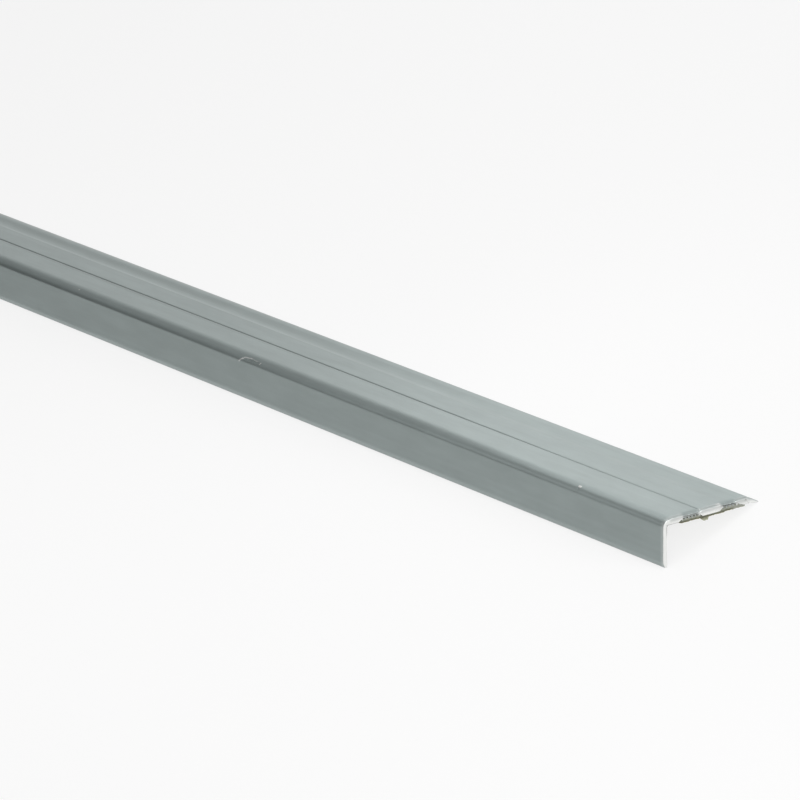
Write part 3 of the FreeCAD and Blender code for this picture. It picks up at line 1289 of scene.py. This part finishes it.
    def painted_shade_tone(self, points: np.ndarray, on_cut: np.ndarray) -> np.ndarray:
        """Share of painted shade.

        On the cuts it paints the shadow along the step and shade in the pits, on the webs and
        along the inner edge of the corner. On the skin it paints shade in the fine groove and,
        away from the near end, before the groove and in the trough. The distance to the inner edge
        is the length of what is missing to the leg's inner face and to the flange's underside.

        Args:
            points: Rows of along, across, down and girth.
            on_cut: Level that is 1 on the cuts.

        Returns:
            The share for each row.
        """
        along, across, down, girth = points.T
        pits = [
            np.exp(-((across - middle) ** 2 + (down - depth) ** 2) / self.pit_radius**2)
            for middle, depth in self.pits
        ]
        # Painted shade on the upper part of the webs' cut faces, half as much over the front
        # channel.
        over = self.over_channels(across) * (0.5 + 0.5 * smooth_step(across, 12.0, 14.0))
        webs = self.web_shade * over * band(down, 0.0, 0.3, 0.2)
        # Painted shade along the inner edge of the corner on the cut.
        to_leg = np.clip(self.section.leg_wall - across, 0.0, None)
        to_flange = np.clip(self.section.flange_thickness - down, 0.0, None)
        edge = 1.0 - smooth_step(np.hypot(to_leg, to_flange), 0.05, 0.3)
        edge = edge * (across < 3.7) * (1.0 - smooth_step(down, 2.6, 4.2))
        # Painted shade in the small pits.
        pitted = self.pit_shade * np.max(pits, axis=0)
        # Painted shadow along the ramp's step.
        step_shadow = self.step_shadow.level(across, down)
        cut = np.max([step_shadow, webs, self.root_shade * edge, pitted], axis=0)
        # Painted shade in the groove and the trough on the flange top.
        skin = np.max([streak.level(along, across) for streak in self.shade_streaks], axis=0)
        skin = skin * (girth < 0.0)
        return np.clip(on_cut * cut + (1.0 - on_cut) * skin, 0.0, 1.0)

    def build(self) -> bpy.types.Object:
        """Make the profile's mesh with its bare and grime tones.

        Returns:
            The profile's object.
        """
        shaped, plain = self.shaped()
        points = plain.points()
        on_cut = plain.on_cut()
        places = shaped.points()
        places[:, 0] += self.cut_relief(points)
        tones = {
            # Bare metal, with painted highlights in the same tone.
            "bare": self.bare_and_highlight_tone(points, on_cut),
            # Painted shade on the cuts and on the flange top.
            "painted_shade": self.painted_shade_tone(points, on_cut),
        }
        return shaped.build("profile_skin", self.pose.place(places), tones)

    def dress(self, piece: bpy.types.Object, grain: EffectGroup, wear_and_painted_light: EffectGroup) -> None:
        """Give the drawn faces their anodising and the cut faces bare metal."""
        piece.data.materials.append(AnodisedSkin().material(grain, wear_and_painted_light))
        piece.data.materials.append(SawnAluminium().material(grain, wear_and_painted_light))


@dataclass(frozen=True)
class Strip:
    """Flat strip under the flange, cut roughly with the profile: a layer of tape or liner."""

    name: str
    pose: RestingPose
    length: float
    upper: float
    lower: float
    ragged: float
    start: float = 3.6
    end: float = 20.9
    wave: float = 0.0
    frayed: float = 0.9
    tab_sag: float = 0.0
    tab_reach: float = 0.0
    tab_start: float = 9.9
    tab_end: float = 11.2
    tab_length: float = 2.4
    bulge: float = 0.12
    bulge_start: float = 10.2
    bulge_end: float = 15.6
    bulge_length: float = 3.0
    channels: tuple[GlueChannel, ...] = ()
    fill_length: float = 4.0
    cut_rows: int = 3

    def across(self) -> np.ndarray:
        """Places across the strip, close together at its edges and in the channels.

        Returns:
            The places from the rear edge to the front edge.
        """
        edge = np.array([0.0, 0.03, 0.12, 0.3])
        middle = np.arange(self.start + 0.6, self.end - 0.4, 0.35)
        channels = [channel.samples() for channel in self.channels]
        return spaced([self.start + edge, middle, self.end - edge, *channels])

    def stations(self) -> np.ndarray:
        """Places along the strip, close together at both ends."""
        near = np.array([0.0, 0.04, 0.12, 0.25, 0.45, 0.7, 1.0, 1.4, 1.9, 2.6, 3.6, 5.0, 7.5])
        return stations_along(self.length, near, 11.0, 11.0)

    def squeezed(self, along: np.ndarray, across: np.ndarray) -> np.ndarray:
        """How far the saw has dragged the strip's upper face up into the channels.

        It follows the channel's outline a little below it, no higher than the channel's fill
        depth, and fades away from both cuts by a smooth step.

        Args:
            along: Places along the length, as a column.
            across: Places across the strip, as a row.

        Returns:
            The rise on the grid of both.
        """
        rise = np.zeros(len(across))
        for channel in self.channels:
            inside = (across > channel.start + 0.1) & (across < channel.end - 0.1)
            face = np.maximum(channel.depth(across) + 0.03, channel.fill_depth)
            rise = np.where(inside, np.clip(self.upper - face, 0.0, None), rise)
        behind = np.minimum(-along, along + self.length)
        return rise * (1.0 - smooth_step(behind, 0.3 * self.fill_length, self.fill_length))

    def torn_edge(self, across: np.ndarray, tab: np.ndarray) -> np.ndarray:
        """How far the near edge stands out past the cut of the profile.

        It is ragged by a ripple across, frayed back at its front end and longer on the tab.

        Args:
            across: Places across the strip.
            tab: Level that is 1 on the torn tab.

        Returns:
            The way out at each place, negative where the edge stands back.
        """
        ragged = self.ragged * (ripple(across, (1.3, 2.9, 0.8), 5.0) - 1.0)
        front = 1.0 - smooth_step(across, self.start + 0.5, self.start + 1.1)
        return ragged - self.frayed * front + self.tab_reach * (tab > 0.4)

    def drag_tone(self, points: np.ndarray) -> np.ndarray:
        """Share of what the saw has dragged.

        It is 1 on what is pulled up or down out of the strip and on the rear end of the near
        cut, where the metal has smeared it.

        Args:
            points: Rows of along, across and down.

        Returns:
            The share for each row.
        """
        along, across, down = points.T
        loose = self.lower + self.wave + self.bulge
        pulled = np.maximum(self.upper - down, down - loose)
        near = 1.0 - smooth_step(-along, 0.6, 2.0)
        # On the liner, the tab pulled down takes the soiled colour, partly as painted shade.
        return np.maximum(smooth_step(pulled, 0.0, 0.12), near * smooth_step(across, 17.2, 18.4))

    def build(self) -> bpy.types.Object:
        """Make the strip.

        Both faces are rounded in at the edges by a falling exponential, and share a slow ripple
        along the length and the sag of a torn tab. Sag and bulge grow as parabolas towards the
        near cut. The lower face bulges, and the upper face with it unless channels are given,
        which means that the strip sticks to the profile.

        Returns:
            The strip's object.
        """
        across = self.across()
        along = self.stations()[:, None]
        edge = np.minimum(across - self.start, self.end - across)
        rounding = 0.3 * (self.lower - self.upper) * np.exp(-edge / 0.05)
        inside = smooth_step(edge, 0.0, 2.0)
        swell = self.wave * inside * (1.0 + ripple(along, (23.0, 41.0, 8.0), 3.0)) / 2.0
        tab = band(across, self.tab_start, self.tab_end, 0.25)
        swell = swell + self.tab_sag * tab * rise_to_cut(-along, self.tab_length)
        fade = rise_to_cut(-along, self.bulge_length)
        press = self.bulge * band(across, self.bulge_start, self.bulge_end, 0.7) * fade
        follow = 0.0 if self.channels else 1.0
        upper = self.upper + rounding + swell + follow * press - self.squeezed(along, across)
        lower = self.lower - rounding + swell + press
        place = along + self.torn_edge(across, tab) * fade
        wide = np.broadcast_to(across, place.shape)
        sides = [np.stack([place, wide, down], -1) for down in (upper, lower)]
        ribbon = RibbonMesh(*sides, self.cut_rows)
        points = ribbon.points()
        return ribbon.build(self.name, self.pose.place(points), {"drag": self.drag_tone(points)})

    def dress(self, piece: bpy.types.Object, material: bpy.types.Material) -> None:
        """Give the strip one material on its faces and its cut edges."""
        piece.data.materials.append(material)
        piece.data.materials.append(material)


@dataclass(frozen=True)
class SoftLamp:
    """Square lamp with a soft face that looks at a point of the object."""

    name: str
    place: Place
    aim: Place
    size: float
    power: float

    def build(self) -> None:
        """Hang the lamp, unseen by the camera."""
        light = bpy.data.lights.new(self.name, "AREA")
        light.shape = "SQUARE"
        light.size = self.size
        light.energy = self.power
        lamp = linked(self.name, light)
        look = Vector(self.aim) - Vector(self.place)
        lamp.location = self.place
        lamp.rotation_euler = look.to_track_quat("-Z", "Y").to_euler()
        lamp.visible_camera = False


@dataclass(frozen=True)
class Card:
    """Large soft card in the surroundings, full within one angle and gone past another."""

    direction: Place
    full: float
    none: float
    level: float

    def hang(self, nodes: Wiring, direction: Socket, behind: Socket) -> Socket:
        """Lay the card over what is behind it.

        Its share is a smooth rise of the cosine of the angle to its middle.

        Args:
            nodes: Wiring of the world's node tree.
            direction: Direction that is looked at.
            behind: Light level without the card.

        Returns:
            Light level with the card.
        """
        middle = tuple(Vector(self.direction).normalized())
        sockets = {0: direction, 1: middle}
        facing = nodes.node("ShaderNodeVectorMath", sockets, operation="DOT_PRODUCT")
        low, high = (math.cos(math.radians(angle)) for angle in (self.none, self.full))
        share = nodes.level(facing.outputs["Value"], low, high, "SMOOTHSTEP")
        kept = nodes.number("MULTIPLY", behind, nodes.number("SUBTRACT", 1.0, share))
        return nodes.number("MULTIPLY_ADD", share, self.level, kept)


@dataclass(frozen=True)
class Studio:
    """Pale floor, soft surroundings with cards, lamps and the camera.

    A card has its direction, the angles at which it is full and gone, and its level. A lamp has
    its name, its place, what it looks at, its size and its power.
    """

    floor_radii: tuple[float, ...] = (0.25, 0.6, 1.5, 4.0, 14.0)
    floor_sides: int = 96
    floor_colour: Colour = (0.2, 0.2, 0.2, 1.0)
    floor_lift: float = 0.8
    room_level: float = 0.45
    white: Colour = (1.0, 1.0, 1.0, 1.0)
    cards: tuple[Card, ...] = (
        Card((0.3, -0.1, 0.95), 20.0, 60.0, 0.2),
        Card((-0.74, 0.66, 0.06), 10.0, 40.0, 0.73),
        Card((-0.74, -0.12, 0.64), 20.0, 47.0, 0.1),
        Card((-0.72, -0.70, 0.12), 16.0, 50.0, 0.02),
    )
    lamps: tuple[SoftLamp, ...] = (
        SoftLamp("front_softbox", (0.62, -0.12, 0.22), (0.42, 0.0, 0.0), 0.2, 0.22),
        SoftLamp("top_softbox", (0.43, 0.06, 0.34), (0.38, 0.0, 0.0), 0.2, 0.31),
        SoftLamp("rear_softbox", (0.18, 0.26, 0.12), (0.42, 0.0, 0.0), 0.16, 0.05),
        SoftLamp("leg_softbox", (0.30, -0.22, 0.06), (0.43, 0.0, 0.0), 0.1, 0.015),
        SoftLamp("corner_softbox", (0.27, -0.12, 0.12), (0.45, 0.0, 0.0), 0.12, 0.03),
        SoftLamp("rim_softbox", (0.366, 0.024, 0.076), (0.45, 0.0, 0.0), 0.05, 0.007),
        SoftLamp("end_softbox", (1.30, 0.26, 0.27), (0.45, 0.0, 0.0), 0.35, 4.5),
        SoftLamp("far_softbox", (-0.05, -0.05, 0.42), (-0.40, 0.0, 0.0), 0.3, 0.3),
    )
    camera_place: Place = (1.10575, -0.43769, 0.47755)
    camera_heading: float = 30.126
    camera_pitch: float = -28.519
    camera_roll: float = -18.210
    camera_lens: float = 212.82
    camera_sensor: float = 36.0
    camera_range: Point = (0.01, 100.0)

    def floor(self) -> bpy.types.Object:
        """Round floor at height 0: a disc in the middle and rings of faces around it.

        Returns:
            The floor's object.
        """
        radius = np.array(self.floor_radii)[:, None]
        angle = 2.0 * math.pi * np.arange(self.floor_sides) / self.floor_sides
        across = radius * np.cos(angle)
        rings = np.stack([across, radius * np.sin(angle), np.zeros_like(across)], -1)
        number = np.arange(across.size).reshape(across.shape)
        ahead = np.roll(number, -1, axis=1)
        quads = np.stack([number[:-1], number[1:], ahead[1:], ahead[:-1]], -1).reshape(-1, 4)
        mesh = bpy.data.meshes.new("floor")
        mesh.from_pydata(rings.reshape(-1, 3).tolist(), [], [number[0].tolist(), *quads.tolist()])
        mesh.materials.append(self.floor_material())
        return linked("floor", mesh)

    def floor_material(self) -> bpy.types.Material:
        """Matt pale floor that looks a little lighter to the eye and in reflections.

        Returns:
            The new material.
        """
        nodes = MaterialWiring("pale_floor")
        path = nodes.node("ShaderNodeLightPath").outputs
        seen = nodes.number("MAXIMUM", path["Is Camera Ray"], path["Is Glossy Ray"])
        seen = nodes.number("MAXIMUM", seen, path["Is Transmission Ray"])
        matt = nodes.node("ShaderNodeBsdfDiffuse", {"Color": self.floor_colour})
        strength = nodes.number("MULTIPLY", seen, self.floor_lift)
        lift = nodes.node("ShaderNodeEmission", {"Color": self.white, "Strength": strength})
        both = nodes.node("ShaderNodeAddShader", {0: matt.outputs[0], 1: lift.outputs[0]})
        return nodes.ended(both)

    def room(self) -> None:
        """Surroundings that are pale all round, apart from the cards."""
        world = bpy.data.worlds.new("studio_room")
        world.use_nodes = True
        bpy.context.scene.world = world
        nodes = Wiring(world.node_tree)
        direction = nodes.node("ShaderNodeTexCoord").outputs["Generated"]
        level = nodes.node("ShaderNodeValue").outputs[0]
        level.default_value = self.room_level
        for card in self.cards:
            level = card.hang(nodes, direction, level)
        shade = nodes.node("ShaderNodeBackground", {"Color": self.white, "Strength": level})
        nodes.node("ShaderNodeOutputWorld", {0: shade.outputs[0]})

    def camera(self) -> None:
        """Set up the scene's camera: a long lens, turned by heading, pitch and roll."""
        heading = math.radians(self.camera_heading)
        pitch = math.radians(self.camera_pitch)
        level = math.cos(pitch)
        look = Vector((-math.cos(heading) * level, math.sin(heading) * level, math.sin(pitch)))
        upright = look.to_track_quat("-Z", "Y").to_matrix()
        turn = upright @ Matrix.Rotation(math.radians(self.camera_roll), 3, "Z")
        data = bpy.data.cameras.new("camera")
        data.lens = self.camera_lens
        data.sensor_width = self.camera_sensor
        data.clip_start, data.clip_end = self.camera_range
        camera = linked("camera", data)
        camera.location = self.camera_place
        camera.rotation_euler = turn.to_euler()
        bpy.context.scene.camera = camera

    def build(self) -> None:
        """Set up the floor, the room, the lamps, the camera and the view transform."""
        self.floor()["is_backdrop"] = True
        self.room()
        for lamp in self.lamps:
            lamp.build()
        self.camera()
        bpy.context.scene.view_settings.view_transform = "Standard"


def corner_marks() -> tuple[Mark, ...]:
    """Nicks on the front corner, each with its path, width, depth, lip and share of bare metal.

    Returns:
        The marks: a dent with a bright scrape beside it, a speck with a dent, and a chip.
    """
    scrape = ((-141.0, 1.30), (-140.1, 0.60), (-139.3, 0.02), (-137.0, -0.22))
    return (
        Mark(((-139.8, 0.45), (-138.4, 0.36), (-134.0, 0.22)), 0.17, 0.15, 0.03, 0.0),
        Mark(scrape, 0.12, 0.03, 0.02, 0.85),
        Mark(((-137.0, -0.22), (-134.6, -0.02)), 0.10, 0.02, 0.02, 0.45),
        Mark(((-133.8, 0.28), (-133.5, 0.06)), 0.15, 0.03, 0.02, 1.0),
        Mark(((-26.6, -0.46), (-26.1, -0.46)), 0.2, -0.04, 0.0, 1.0),
        Mark(((-26.6, 0.02), (-26.3, 0.5)), 0.14, 0.09, 0.02, 0.0),
        Mark(((-204.4, -0.53), (-204.2, -0.53)), 0.16, 0.02, 0.0, 0.6),
    )


def attach(piece: bpy.types.Object, node: str) -> None:
    """Let a piece ride on the stock and stand for a node, and log its triangles.

    Args:
        piece: The finished piece.
        node: CAD node that it stands for.
    """
    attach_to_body(piece, "root")
    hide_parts(node)
    triangles = sum(len(polygon.vertices) - 2 for polygon in piece.data.polygons)
    LOG.info("%s stands for %s with %d triangles", piece.name, node, triangles)


def corners_of(bounds: tuple[Vector, Vector]) -> list[list[float]]:
    """Lowest and highest corner as plain lists."""
    return [list(corner) for corner in bounds]


def main() -> None:
    """Build the profile, the tape, the liner and the studio, and note the sizes."""
    logging.basicConfig(level=logging.INFO, format="%(message)s")
    cad = corners_of(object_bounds())
    length = (cad[1][0] - cad[0][0]) / MM
    front = GlueChannel(3.9, 5.5, 8.5, 10.1, tooth_middle=7.0, fill_depth=1.08)
    rear = GlueChannel(14.4, 15.4, 18.0, 20.6, tooth_middle=17.5, fill_depth=0.95)
    section = Section(FlangeTop(), (front, rear))
    pose = RestingPose.of(section, length)

    profile = CornerProfile(section, pose, length, corner_marks())
    metal = profile.build()
    profile.dress(metal, drawn_grain_group(), wear_and_painted_light_group())
    attach(metal, "corner_profile")

    tape = Strip("tape_layer", pose, length, 1.505, 1.795, ragged=0.12, channels=section.channels)
    glue = tape.build()
    tape.dress(glue, TackyAdhesive().material())
    attach(glue, "adhesive_strip")

    liner = Strip(
        "liner_layer", pose, length, 1.8, 1.88, ragged=0.2, wave=0.05, tab_sag=0.45, tab_reach=0.35
    )
    paper = liner.build()
    liner.dress(paper, GlassinePaper().material())
    attach(paper, "release_liner")

    Studio().build()
    LOG.info("studio ready")


if __name__ == "__main__":
    main()
